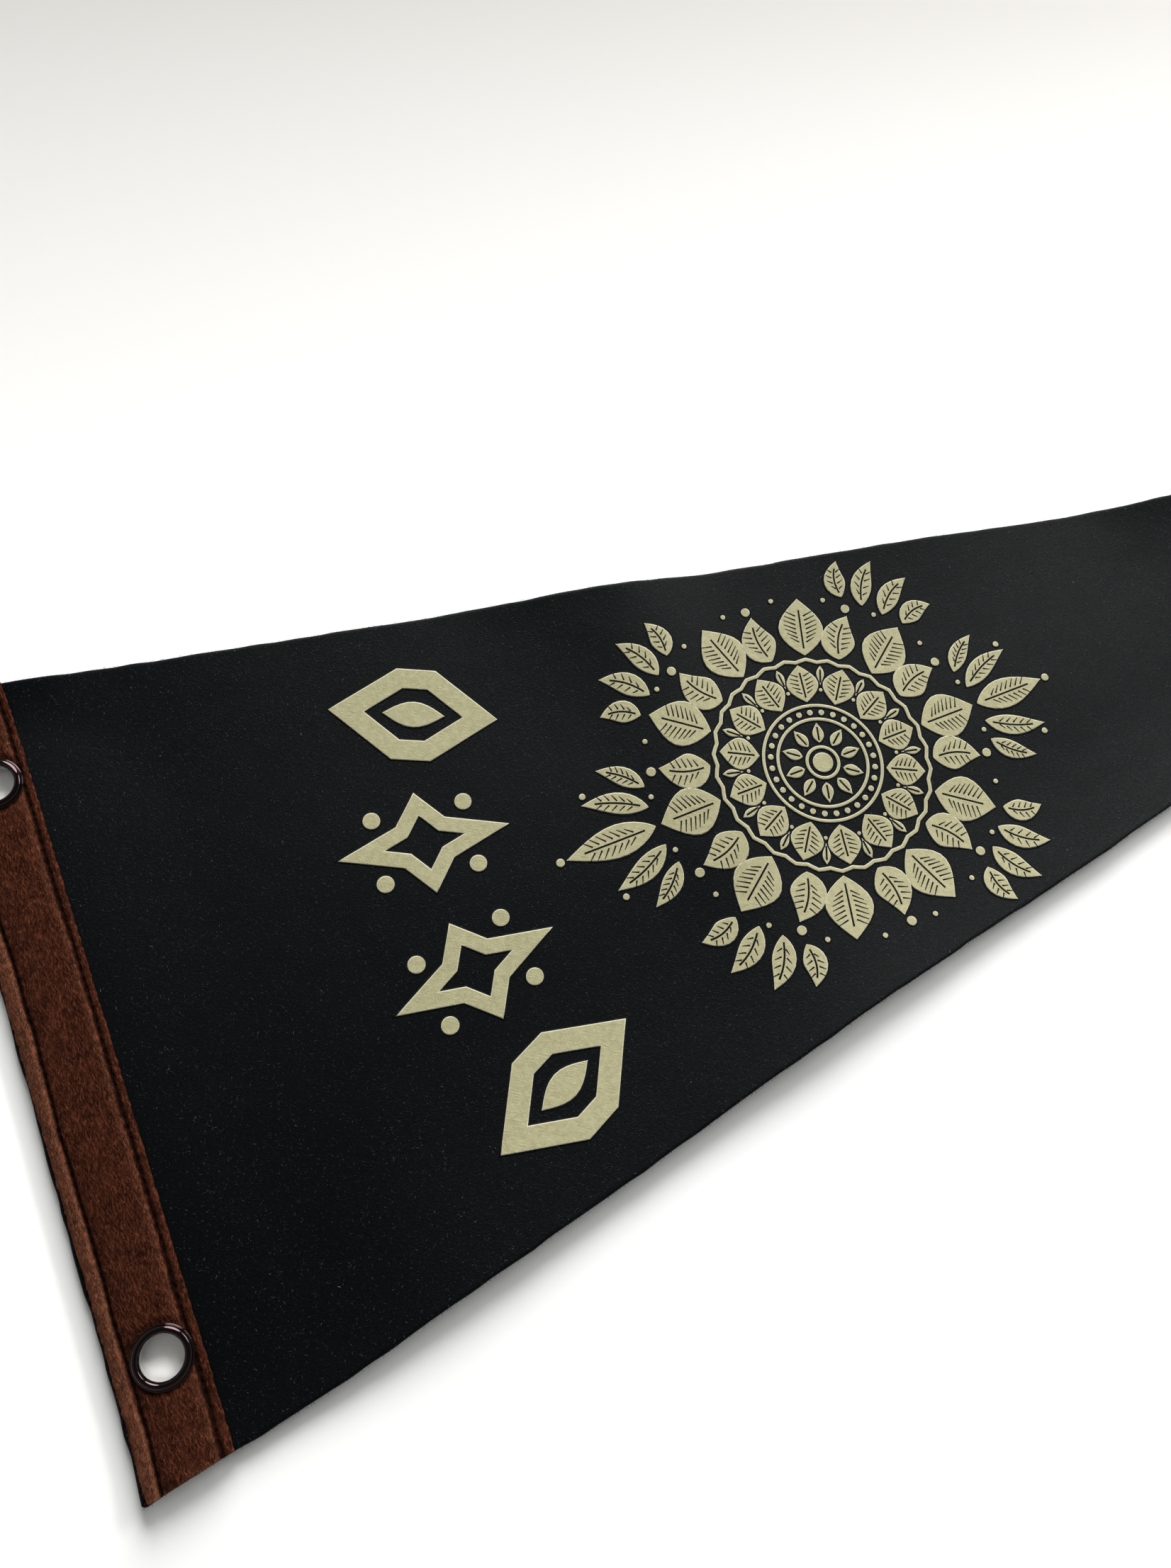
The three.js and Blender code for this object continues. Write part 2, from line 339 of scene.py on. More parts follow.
def new_piece(name, solid, material, values=None):
    """A smooth mesh object from points in millimetres and faces that all have as many corners.
    values holds point attributes by name, a number for each point."""
    points, faces = solid
    mesh = bpy.data.meshes.new(name)
    mesh.vertices.add(len(points))
    mesh.vertices.foreach_set("co", (points * MM).astype(np.float32).ravel())
    mesh.loops.add(faces.size)
    mesh.loops.foreach_set("vertex_index", faces.astype(np.int32).ravel())
    mesh.polygons.add(len(faces))
    mesh.polygons.foreach_set("loop_start", np.arange(0, faces.size, faces.shape[1], dtype=np.int32))
    mesh.update(calc_edges=True)
    mesh.polygons.foreach_set("use_smooth", np.ones(len(faces), bool))
    for attribute, value in (values or {}).items():
        mesh.attributes.new(attribute, "FLOAT", "POINT")
        mesh.attributes[attribute].data.foreach_set("value", value.astype(np.float32))
    mesh.materials.append(material)
    piece = bpy.data.objects.new(name, mesh)
    bpy.context.scene.collection.objects.link(piece)
    return piece


def bore(piece):
    """Cuts the two round eyelet holes through a piece, and keeps the result as its mesh."""
    cutters = []
    for along, across in EYELETS.values():
        turn = np.linspace(0, 2 * np.pi, HOLE_SIDES, endpoint=False)
        x = along - LENGTH / 2 + HOLE_RADIUS * np.cos(turn)
        y = across + HOLE_RADIUS * np.sin(turn)
        rim = np.stack([x, y, 0 * x], axis=1)
        points = np.concatenate([rim + (0, 0, -1), rim + (0, 0, EYELET_TOP)]) * MM
        low = np.arange(HOLE_SIDES)
        after, high = np.roll(low, -1), low + HOLE_SIDES
        walls = np.stack([low, after, after + HOLE_SIDES, high], axis=1)
        ends = [low[::-1].tolist(), high.tolist()]
        mesh = bpy.data.meshes.new("cutter")
        mesh.from_pydata(points.tolist(), [], walls.tolist() + ends)
        cutters.append(bpy.data.objects.new("cutter", mesh))
        bpy.context.scene.collection.objects.link(cutters[-1])
        cut = piece.modifiers.new("hole", "BOOLEAN")
        cut.object = cutters[-1]
        cut.operation = "DIFFERENCE"
        cut.solver = "EXACT"
    bpy.context.view_layer.update()
    graph = bpy.context.evaluated_depsgraph_get()
    piece.data = bpy.data.meshes.new_from_object(piece.evaluated_get(graph))
    piece.modifiers.clear()
    for cutter in cutters:
        bpy.data.objects.remove(cutter)


# Materials


def linear(hex_colour):
    """sRGB hex, such as "c8c396", to linear red, green and blue."""
    parts = [int(hex_colour[i:i + 2], 16) / 255 for i in (0, 2, 4)]
    return tuple(p / 12.92 if p <= 0.04045 else ((p + 0.055) / 1.055) ** 2.4 for p in parts)


def fill(tree, made, inputs):
    """Fills a node's inputs: a socket is linked, and a number or a linear colour is set on the
    input itself."""
    for name, value in inputs.items():
        socket = made.inputs[name]
        if isinstance(value, bpy.types.NodeSocket):
            tree.links.new(value, socket)
        else:
            socket.default_value = (*value, 1) if socket.type == "RGBA" else value


def node(tree, kind, inputs, output=0, **settings):
    """Adds a node with its settings and its inputs filled, and gives one of its outputs."""
    made = tree.nodes.new("ShaderNode" + kind)
    for name, value in settings.items():
        setattr(made, name, value)
    fill(tree, made, inputs)
    return made.outputs[output]


def new_material(name):
    """A material, its node tree and its shader."""
    material = bpy.data.materials.new(name)
    material.use_nodes = True
    tree = material.node_tree
    return material, tree, tree.nodes["Principled BSDF"]


def layered(tree, colour, layers):
    """A colour with others laid over it in turn, each by a share socket."""
    for share, over in layers:
        inputs = {"Factor": share, "A": colour, "B": over}
        colour = node(tree, "Mix", inputs, "Result", data_type="RGBA")
    return colour


def fibre_pattern(tree, length, width, turns):
    """Criss-cross fibres: noise stretched to the fibres' length and width, turned to several
    directions, of which the strongest shows at each place."""
    place = node(tree, "TexCoord", {}, "Object")
    size = (1 / (length * MM), 1 / (width * MM), 1 / (length * MM))
    strongest = None
    for turn in turns:
        inputs = {"Vector": place, "Rotation": (0, 0, math.radians(turn)), "Location": (turn, 0, 0)}
        stretched = node(tree, "Mapping", {"Vector": node(tree, "Mapping", inputs), "Scale": size})
        value = node(tree, "TexNoise", {"Vector": stretched, "Scale": 1.0, "Detail": 2.0}, "Fac")
        if strongest is not None:
            value = node(tree, "Math", {0: value, 1: strongest}, operation="MAXIMUM")
        strongest = value
    return strongest


def patches(tree, size, detail, low=0.0, high=1.0):
    """Soft noise whose features are about size millimetres across, as a share from 0 to 1 while
    it goes from low to high."""
    inputs = {"Vector": node(tree, "TexCoord", {}, "Object"), "Scale": 1 / (size * MM), "Detail": detail}
    value = node(tree, "TexNoise", inputs, "Fac")
    return node(tree, "MapRange", {"Value": value, "From Min": low, "From Max": high})


def needled_felt(settings):
    """Black wool-blend felt, needled: matt, a mat of short fibres, greyer where it is seen aslant.
    The fibres are drawn some ten times wider than wool ones, so that they show."""
    material, tree, shader = new_material("needled black felt")
    fibres = fibre_pattern(tree, 1.05, 0.33, (12, 71, 129))
    raised = node(tree, "MapRange", {"Value": fibres, "From Min": 0.58, "From Max": 0.74})
    clouds = node(tree, "MapRange", {"Value": patches(tree, 8, 3.0), "To Min": 0.2, "To Max": 1.4})
    share = node(tree, "Math", {0: raised, 1: clouds}, operation="MULTIPLY", use_clamp=True)
    fill(tree, shader, {
        "Base Color": layered(tree, settings.felt_colour, [(share, settings.felt_fibre_colour)]),
        "Roughness": node(tree, "MapRange", {"Value": share, "To Min": 0.52, "To Max": 0.34}),
        "Specular IOR Level": 0.075,
        "Sheen Weight": 0.006,
        "Sheen Roughness": 0.3,
        "Sheen Tint": linear("8c98a4"),
        "Normal": node(tree, "Bump", {"Height": fibres, "Distance": 0.15 * MM}),
    })
    return material


def loose_fibre(settings):
    """Single wool fibres: from nearly black to mid grey, with a few pale stray hairs."""
    material, tree, shader = new_material("loose wool fibre")
    shade = node(tree, "Attribute", {}, "Fac", attribute_name="shade")
    colour = layered(tree, settings.felt_colour, [(shade, linear("9aa2a8"))])
    fill(tree, shader, {"Base Color": colour, "Roughness": 0.4, "Specular IOR Level": 0.5})
    return material


def plush_ground(settings):
    """The plush felt under its pile: chocolate brown, combed along the strip, darker in patches, with
    painted shade in its seam grooves, painted light and shade across its bands, and lighter cut ends.
    """
    material, tree, shader = new_material("brown plush ground")
    combed = fibre_pattern(tree, 1.9, 0.42, (78, 102))
    streaks = node(tree, "MapRange", {"Value": combed, "From Min": 0.5, "From Max": 0.8})
    layers = [(patches(tree, 5, 2.0, 0.25, 0.65), settings.plush_colour), (streaks, settings.plush_tip)]
    # light lays on the lighter cut ends and painted light, deep lays on painted shade in the grooves and
    # beside them
    for name, hex_colour in (("light", "8e5f48"), ("deep", "0c0504")):
        layers.append((node(tree, "Attribute", {}, "Fac", attribute_name=name), linear(hex_colour)))
    fill(tree, shader, {
        "Base Color": layered(tree, settings.plush_dark, layers),
        "Roughness": 0.9,
        "Specular IOR Level": 0.03,
        "Sheen Weight": 0.08,
        "Sheen Roughness": 0.4,
        "Sheen Tint": linear("b06040"),
        "Normal": node(tree, "Bump", {"Height": combed, "Distance": 0.7 * MM}),
    })
    return material


def plush_pile(settings):
    """Single pile hairs: dark at the root, lighter and redder at the tip."""
    material, tree, shader = new_material("brown plush pile")
    shade = node(tree, "Attribute", {}, "Fac", attribute_name="shade")
    colour = layered(tree, settings.plush_dark, [(shade, settings.plush_tip)])
    fill(tree, shader, {"Base Color": colour, "Roughness": 0.6, "Specular IOR Level": 0.08})
    return material


def sewing_thread(settings):
    """Spun polyester thread, dark brown, its twist drawn as fine bands."""
    material, tree, shader = new_material("brown sewing thread")
    place = node(tree, "TexCoord", {}, "Object")
    inputs = {"Vector": place, "Scale": 1 / (0.5 * MM), "Distortion": 1.0}
    twist = node(tree, "TexWave", inputs, "Fac", bands_direction="DIAGONAL")
    fill(tree, shader, {
        "Base Color": layered(tree, linear("080302"), [(twist, settings.plush_dark)]),
        "Roughness": 0.7,
        "Specular IOR Level": 0.08,
        "Normal": node(tree, "Bump", {"Height": twist, "Distance": 0.05 * MM}),
    })
    return material


def black_nickel(settings):
    """Brass plated in black nickel and polished: a dark mirror under a clear coat, with faint
    wear, and a painted reflection inside the barrel, whose metal is made pale so that the hole looks lit."""
    material, tree, shader = new_material("polished black nickel")
    wear = patches(tree, 2.5, 4.0, 0.35, 0.7)
    inside = node(tree, "Attribute", {}, "Fac", attribute_name="inside")
    # The inside share paints the barrel's lower inside pale: a painted reflection, not a change of
    # plating
    layers = [(wear, linear("251012")), (inside, linear("dcdad6"))]
    fill(tree, shader, {
        "Base Color": layered(tree, settings.metal_colour, layers),
        "Metallic": 1.0,
        "Roughness": node(tree, "MapRange", {"Value": wear, "To Min": 0.07, "To Max": 0.13}),
        "Coat Weight": 0.52,
        "Coat Roughness": 0.05,
        "Normal": node(tree, "Bump", {"Height": patches(tree, 1.2, 3.0), "Distance": 0.003 * MM}),
    })
    return material


def screen_ink(settings):
    """Plastisol ink pressed into felt: pale cream, matt, mottled, with a painted highlight that makes its
    rim a little lighter.
    """
    material, tree, shader = new_material("cream screen ink")
    fibres = fibre_pattern(tree, 2.6, 0.5, (35, 100, 155))
    # Painted highlight: the border share lightens a narrow band along each shape's rim
    rim = node(tree, "Attribute", {}, "Fac", attribute_name="shade")
    layers = [(patches(tree, 1.6, 4.0, 0.3, 0.7), settings.ink_colour), (rim, linear("c2bea4"))]
    fill(tree, shader, {
        "Base Color": layered(tree, linear("96916e"), layers),
        "Roughness": 0.7,
        "Specular IOR Level": 0.3,
        "Normal": node(tree, "Bump", {"Height": fibres, "Distance": 0.22 * MM}),
    })
    return material


def pressed_felt():
    """Felt that the print's edge has pressed flat: plain black, with no nap left to shine."""
    material, tree, shader = new_material("pressed black felt")
    colour = layered(tree, linear("050608"), [(patches(tree, 0.8, 2.0), linear("14161a"))])
    fill(tree, shader, {"Base Color": colour, "Roughness": 0.95, "Specular IOR Level": 0.1})
    return material


def pale_floor():
    """Plain white table top, with painted shade that makes it a little greyer and warmer beyond the flag.
    """
    material, tree, shader = new_material("plain white surface")
    place = node(tree, "TexCoord", {}, "Object")
    # Painted shade: the floor is painted darker and warmer the farther it lies beyond the flag
    beyond = node(tree, "VectorMath", {0: place, 1: (0.25, 0.97, 0)}, "Value", operation="DOT_PRODUCT")
    far_painted_shade = node(tree, "MapRange", {"Value": beyond, "From Max": 0.32})
    colour = layered(tree, linear("f9f9f7"), [(far_painted_shade, linear("b9b7b3"))])
    fill(tree, shader, {"Base Color": colour, "Roughness": 0.9, "Specular IOR Level": 0.05})
    return material


# Outlines of the print, in millimetres along and across

INK_LIFT = 0.17
INK_THICKNESS = 0.12
LINE_LIFT = 0.2
LINE_THICKNESS = 0.08
PRESSED_LIFT = 0.06
PRESSED_MARGIN = 0.45
RIM = 0.35
BLUNT = 0.12

# Points along the shapes of the print, and along each side of a band
LEAF_ROWS = 15
DISC_ROWS = 11
HOOP_STEPS = 120
SIDE_STEPS = 6


def ribbon(path, half, line=False):
    """Points across a path: its centre plus the half width times the left normal, for places
    from -1 to 1. A line has its two borders only, a shape also rows a rim's width inside them."""
    step = np.gradient(path, axis=0)
    step /= np.hypot(step[:, :1], step[:, 1:])
    left = np.stack([-step[:, 1], step[:, 0]], axis=1)
    half = np.maximum(half, BLUNT)
    if line:
        across = np.stack([-half, half], axis=1)
    else:
        inside = half - np.minimum(RIM, half / 2)
        inner = np.linspace(-1, 1, 3 + 2 * int(half.max() / 4))
        across = np.concatenate([-half[:, None], inside[:, None] * inner, half[:, None]], axis=1)
    return path[:, None] + across[:, :, None] * left[:, None]


def along_path(rows):
    """Shares from 0 to 1 along a path, closer together near both ends."""
    return (1 - np.cos(np.pi * np.linspace(0, 1, rows))) / 2


def leaf(start, end, half, bend, fullness, grow):
    """Pointed leaf along +X: half width times sin(pi t^fullness), its middle line bowed by bend."""
    t = along_path(LEAF_ROWS)
    path = np.stack([start - grow + (end - start + 2 * grow) * t, bend * np.sin(np.pi * t)], axis=1)
    return ribbon(path, (half + grow) * np.sin(np.pi * t**fullness) + grow / 2)


def disc(centre, radius, grow):
    """Round dot: a path across it, with the circle's half width."""
    t = np.cos(np.pi * (1 - np.linspace(0, 1, DISC_ROWS)))
    size = radius + grow
    path = np.stack([centre[0] + size * 0.995 * t, 0 * t + centre[1]], axis=1)
    return ribbon(path, size * np.sqrt(1 - (0.995 * t) ** 2))


def hoop(inner, outer, grow, waves, depth):
    """Ring round the origin: points on a circle, carried from its inner to its outer radius.
    Its radius may rise and fall by depth, waves times round."""
    turn = np.linspace(0, 2 * np.pi, HOOP_STEPS, endpoint=False)
    inner, outer = inner - grow, outer + grow
    rim = min(RIM, (outer - inner) / 3)
    radii = np.array([outer, outer - rim, inner + rim, inner])
    radius = radii[None] + depth * np.cos(waves * turn)[:, None]
    return np.stack([radius * np.cos(turn)[:, None], radius * np.sin(turn)[:, None]], axis=-1)


def inset(corners, distance):
    """A polygon whose sides have each moved inwards by a distance: every corner goes by the sum
    of its two sides' inward normals over one plus their dot product, times the distance."""
    side = np.roll(corners, -1, axis=0) - corners
    side /= np.linalg.norm(side, axis=1, keepdims=True)
    inward = np.stack([-side[:, 1], side[:, 0]], axis=1)
    before = np.roll(inward, 1, axis=0)
    return corners + distance * (inward + before) / (1 + (inward * before).sum(axis=1, keepdims=True))


def frame_band(corners, stroke, grow):
    """Band of an even stroke just inside a polygon: points along its sides, from border to border."""
    t = np.linspace(0, 1, SIDE_STEPS, endpoint=False)[None, :, None]
    borders = []
    for distance in (-grow, RIM, stroke / 2, stroke - RIM, stroke + grow):
        moved = inset(np.array(corners, float), distance)
        after = np.roll(moved, -1, axis=0)
        borders.append((moved[:, None] * (1 - t) + after[:, None] * t).reshape(-1, 2))
    return np.stack(borders, axis=1)


def turned(grid, degrees, centre=(0.0, 0.0)):
    """A grid turned about the origin and moved to a centre. A ring, held in a tuple, stays one."""
    if isinstance(grid, tuple):
        return (turned(grid[0], degrees, centre),)
    c, s = math.cos(math.radians(degrees)), math.sin(math.radians(degrees))
    return grid @ np.array([[c, s], [-s, c]]) + np.array(centre)


def laid_print(grids, lift, thickness):
    """Grids of (along, across) points laid on the cloth as closed layers of ink, and for each
    point 1 on a border and 0 inside. A grid in a tuple is a ring."""
    solids, rims = [], []
    for grid in grids:
        ring = isinstance(grid, tuple)
        grid = grid[0] if ring else grid
        along, across = grid[..., 0], grid[..., 1]
        top = np.stack([along - LENGTH / 2, across, felt_top(along, across) + lift], axis=-1)
        solids.append(skin(top, top - (0, 0, thickness), ring))
        # Points on a border are marked 1; on the ink they carry the painted rim highlight
        rim = np.zeros(along.shape)
        rim[:, (0, -1)] = 1
        if not ring:
            rim[(0, -1), :] = 1
        rims += [rim.ravel(), rim.ravel()]
    return joined(solids), np.concatenate(rims)


# The four bold motifs stand on an arc round a point farther along the flag
ARC_CENTRE = (271.5, 0.0)
ARC_RADIUS = 151.0
MOTIF_ANGLES = (-23.6, -7.9, 7.9, 23.6)
LOZENGE = ((26, 0), (6, 15), (-6, 15), (-26, 0), (-6, -15), (6, -15))
STAR = ((26, 0), (7.5, 6.5), (0, 16), (-7.5, 6.5), (-26, 0), (-7.5, -6.5), (0, -16), (7.5, -6.5))


def bold_motifs(grow):
    """Outer motifs: a chamfered lozenge frame round a solid lozenge. Inner ones: a long star
    frame round a dot, with a dot in each quarter."""
    shapes = []
    for angle in MOTIF_ANGLES:
        place = np.array(ARC_CENTRE) + ARC_RADIUS * np.array(
            (-math.cos(math.radians(angle)), math.sin(math.radians(angle)))
        )
        if abs(angle) > 15:
            own = [(frame_band(LOZENGE, 6.5, grow),), leaf(-9.5, 9.5, 4.2, 0, 1, grow)]
        else:
            own = [(frame_band(STAR, 4.6, grow),)]
            own += [disc((x, y), 2.6, grow) for x in (-14, 14) for y in (-10, 10)]
        shapes += [turned(grid, -angle, place) for grid in own]
    return shapes


ROSETTE_CENTRE = (250.0, 0.0)

# Dots of the rosette: how many round it, angle of the first, place along and across, radius
DOTS = (
    (1, 0, 0, 0, 3.4), (28, 0, 17.5, 0, 0.95), (14, 180 / 14, 25.6, 0, 0.6), (10, 18, 57, 1, 1.5),
    (20, 9, 58.6, 0, 0.8), (1, 180, 92.5, 0, 1.3), (1, 0, 88.5, 0, 1.3), (2, 0, 78, -17, 1),
    (2, 0, 78, 17, 1),
)

# Rings round its middle: inner and outer radius, how many waves, their depth
RINGS = ((4.8, 5.8, 0, 0), (14.6, 15.6, 0, 0), (19.4, 20.4, 0, 0), (35.4, 36.6, 30, 0.5))

# Leaves round its middle: how many, angle of the first, start, end, half width, bend, fullness,
# and how many veins on each side
LEAVES = (
    (10, 0, 6.9, 13.7, 1.9, 0, 0.8, 0),
    (14, 0, 21.3, 34.5, 5.5, 0, 0.95, 5),
    (14, 180 / 14, 27.5, 34.3, 1.3, 0, 1.3, 0),
    (10, 0, 38, 58.5, 7.8, 0, 0.9, 7),
    (10, 18, 38, 54.5, 5.9, 1.6, 0.75, 5),
)

# Buds: the way each faces and its reach, where they start, their half width, and the bend of
# their side leaves
BUDS = ((180, 30), (0, 26))
BUD_START = 60.5
BUD_HALF = 5.2
BUD_BEND = 1.2

# Side leaves of the buds: reach, half width, lean, and place
SIDE_LEAVES = ((21, 3.5, 22, (60, 6.5)), (16, 3.1, 40, (58.5, 13)))

# Sprays: the way each faces and its leaves' bend, their half width, and each leaf's lean and reach
SPRAYS = ((46, 1.6), (134, -1.6), (226, 1.6), (314, -1.6))
SPRAY_HALF = 3.7
SPRAY_LEAVES = ((-32, 13), (-12, 17), (8, 17), (28, 13))


def leaves():
    """Every leaf of the rosette, its buds and its sprays: start, end, half width, bend, fullness
    and veins, its lean and place, and the way it faces from the rosette's middle."""
    middle = (0, 0)
    for count, first, *own in LEAVES:
        for k in range(count):
            yield own, 0, middle, first + 360 * k / count
    for facing, reach in BUDS:
        yield (BUD_START, BUD_START + reach, BUD_HALF, 0, 0.8, 7), 0, middle, facing
        for side in (-1, 1):
            for reach, half, lean, (x, y) in SIDE_LEAVES:
                yield (0, reach, half, side * BUD_BEND, 0.8, 5), side * lean, (x, side * y), facing
    for facing, bend in SPRAYS:
        for k, (lean, reach) in enumerate(SPRAY_LEAVES):
            yield (0, reach, SPRAY_HALF, bend, 0.8, 4), lean, (60, (k - 1.5) * 7.6), facing


def rosette(grow):
    """Cream shapes of the rosette."""
    shapes = [(hoop(inner, outer, grow, waves, depth),) for inner, outer, waves, depth in RINGS]
    for count, first, x, y, radius in DOTS:
        shapes += [turned(disc((x, y), radius, grow), first + 360 * k / count) for k in range(count)]
    for (*own, _), lean, place, facing in leaves():
        shapes.append(turned(turned(leaf(*own, grow), lean, place), facing))
    return shapes


def veins(start, end, half, count, bend):
    """Dark lines of a leaf: its midrib, and slanting veins on both sides."""
    length = end - start
    rib = np.linspace(0.12, 0.8, 10)
    path = np.stack([start + length * rib, bend * np.sin(np.pi * rib)], axis=1)
    lines = [ribbon(path, np.full(10, 0.3), True)]
    for share in np.linspace(0.2, 0.66, count):
        foot = np.array((start + length * share, bend * math.sin(math.pi * share)))
        out = half * math.sin(math.pi * share**0.85)
        for side in (-1, 1):
            t = np.linspace(0.22, 0.74, 5)[:, None]
            tip = foot + (0.16 * length, side * out)
            lines.append(ribbon(foot + (tip - foot) * t, 0.28 * (1.15 - t[:, 0]), True))
    return lines


def rosette_lines():
    """Dark lines inside the leaves of the rosette."""
    lines = []
    for (start, end, half, bend, _, count), lean, place, facing in leaves():
        own = veins(start, end, half, count, bend)
        lines += [turned(turned(grid, lean, place), facing) for grid in own]
    return lines


# Random places for pile and fibres


def over_flag(count, seed, start):
    """Random places spread evenly over the flag's face from a place along it to the tip."""
    rng = np.random.default_rng(seed)
    wide, narrow = float(half_width(start, 1)), float(half_width(LENGTH - 2, 1))
    share = rng.random(count)
    half = np.sqrt(wide**2 + (narrow**2 - wide**2) * share)
    along = start + (wide - half) / (wide - narrow) * (LENGTH - 2 - start)
    across = rng.uniform(-1, 1, count)
    across *= half_width(along, across) - 0.3
    return along, across, rng


def flag_point(along, across, height):
    """A place on the flag as a point in its frame, whose origin is half the length along."""
    return np.stack([along - LENGTH / 2, across, height], axis=-1)


# Settings, operators and panel


def colour_setting(name, description, hex_colour):
    return FloatVectorProperty(
        name=name, description=description, subtype="COLOR", size=3, min=0, max=1,
        default=linear(hex_colour),
    )


def count_setting(name, description, count):
    return IntProperty(name=name, description=description, min=1000, max=32000, default=count)


def power_setting(name, description, watts):
    return FloatProperty(
        name=name, description=description, subtype="POWER", unit="POWER", min=0, max=500,
        default=watts,
    )


class PennantSettings(bpy.types.PropertyGroup):
    felt_colour: colour_setting("Felt", "Colour of the felt's ground", "010203")
    felt_fibre_colour: colour_setting("Felt fibres", "Colour of the fibres on the felt", "0b1013")
    plush_colour: colour_setting("Plush", "Colour of the header strip", "3e1e12")
    plush_dark: colour_setting("Plush shade", "Colour deep in the strip's pile", "200c06")
    plush_tip: colour_setting("Plush tips", "Colour at the tips of the pile", "76432e")
    ink_colour: colour_setting("Ink", "Colour of the print", "a5a17d")
    metal_colour: colour_setting("Eyelets", "Colour of the eyelets' plating", "1e0b0e")
    pile_length: FloatProperty(
        name="Pile length", description="Mean length of the strip's hairs, in metres",
        subtype="DISTANCE", unit="LENGTH", min=0.0005, max=0.004, default=0.0013,
    )
    pile_count: count_setting("Pile hairs", "Number of hairs on the header strip", 31000)
    fibre_count: count_setting("Felt fibres", "Number of loose fibres on the felt", 27500)
    key_power: power_setting("Key light", "Power of the large soft light, in watts", 146.0)
    side_power: power_setting("Side light", "Power of the smaller light beyond the tip, in watts", 6.8)
    sky_strength: FloatProperty(
        name="Fill light", description="Brightness of the pale room all round",
        min=0, max=5, default=0.25,
    )


class PENNANT_OT_felt(bpy.types.Operator):
    """Adds the black felt triangle, with rounded cut edges and its two holes"""

    bl_idname = "pennant.felt"
    bl_label = "Felt"

    def execute(self, context):
        edge_round = 0.8
        near_edge = (0, 0.12, 0.4, edge_round, 1.4)
        along, across, cut_off = cloth_grid(0, LENGTH, near_edge, FELT_ROWS, FELT_COLUMNS)
        from_side = half_width(along, across) - cut_off - np.abs(across)
        from_edge = np.minimum(from_side, np.minimum(along, LENGTH - along))
        full = 0.25 + 0.75 * np.sqrt(1 - (1 - np.clip(from_edge / edge_round, 0, 1)) ** 2)
        low, high = underside(along, across), felt_top(along, across)
        middle, thick = (low + high) / 2, (high - low) / 2
        side = np.sign(across)
        moved = across + side * 0.22 * noise(along, 300 * side, 6, 7) * np.exp(-from_side / 2)
        cut = 0.3 * noise(across, along, 5, 8) * np.exp(-along / 1.5)
        solid = skin(
            flag_point(along + cut, moved, middle + full * thick),
            flag_point(along + cut, moved, middle - full * thick),
        )
        piece = new_piece("felt_cloth", solid, needled_felt(context.scene.pennant))
        bore(piece)
        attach(piece, "root")
        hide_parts("felt_pennant")
        return {"FINISHED"}


class PENNANT_OT_fibres(bpy.types.Operator):
    """Adds loose fibres that lie on the felt, and fuzz along its cut edges"""

    bl_idname = "pennant.fibres"
    bl_label = "Felt fibres"

    def execute(self, context):
        settings = context.scene.pennant
        along, across, rng = over_flag(settings.fibre_count, 21, HEADER_WIDTH + 0.5)
        count = len(along)
        heading = rng.uniform(0, 2 * np.pi, count)
        length = rng.uniform(0.5, 1.5, count)
        reach_x, reach_y = length * np.cos(heading), length * np.sin(heading)
        far_along = np.clip(along + reach_x, HEADER_WIDTH + 0.3, LENGTH - 1.5)
        far_across = np.clip(
            across + reach_y, 0.1 - half_width(far_along, -1), half_width(far_along, 1) - 0.1
        )
        root = flag_point(along, across, felt_top(along, across) - 0.02)
        height = felt_top(far_along, far_across) + rng.uniform(0, 0.12, count)
        tip = flag_point(far_along, far_across, height)
        bend = np.stack([-reach_y, reach_x, 0 * length], axis=1) * rng.uniform(-0.3, 0.3, (count, 1))
        bend[:, 2] = rng.uniform(0.02, 0.1, count)
        shade = np.clip(rng.gamma(1.3, 0.06, count), 0.01, 1)
        shade[rng.random(count) < 0.0012] = 1.0

        edge_count = 4200
        place = rng.uniform(0, LENGTH, edge_count)
        side = rng.choice((-1, 1), edge_count)
        edge = side * (half_width(place, side) - 0.25)
        height = underside(place, edge) + rng.uniform(0.3, FELT_THICKNESS, edge_count)
        fuzz_root = flag_point(place, edge, height)
        fuzz = np.stack([
            rng.uniform(-0.6, 0.6, edge_count),
            side * rng.uniform(0.25, 0.9, edge_count),
            rng.uniform(-0.2, 0.3, edge_count),
        ], axis=1)
        fuzz_bend = rng.uniform(-0.12, 0.12, (edge_count, 3))
        root = np.concatenate([root, fuzz_root])
        tip = np.concatenate([tip, fuzz_root + fuzz])
        bend = np.concatenate([bend, fuzz_bend])
        shade = np.concatenate([shade, rng.uniform(0.02, 0.2, edge_count)])
        radius = rng.uniform(*STRAND_RADII, len(root))
        root[:, 2] = np.maximum(root[:, 2], 0.1)
        tip[:, 2] = np.maximum(tip[:, 2], 0.1)
        solid = strands(root, tip, bend, radius)
        piece = new_piece("felt_fibres", solid, loose_fibre(settings), {"shade": np.repeat(shade, 5)})
        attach(piece, "root")
        return {"FINISHED"}


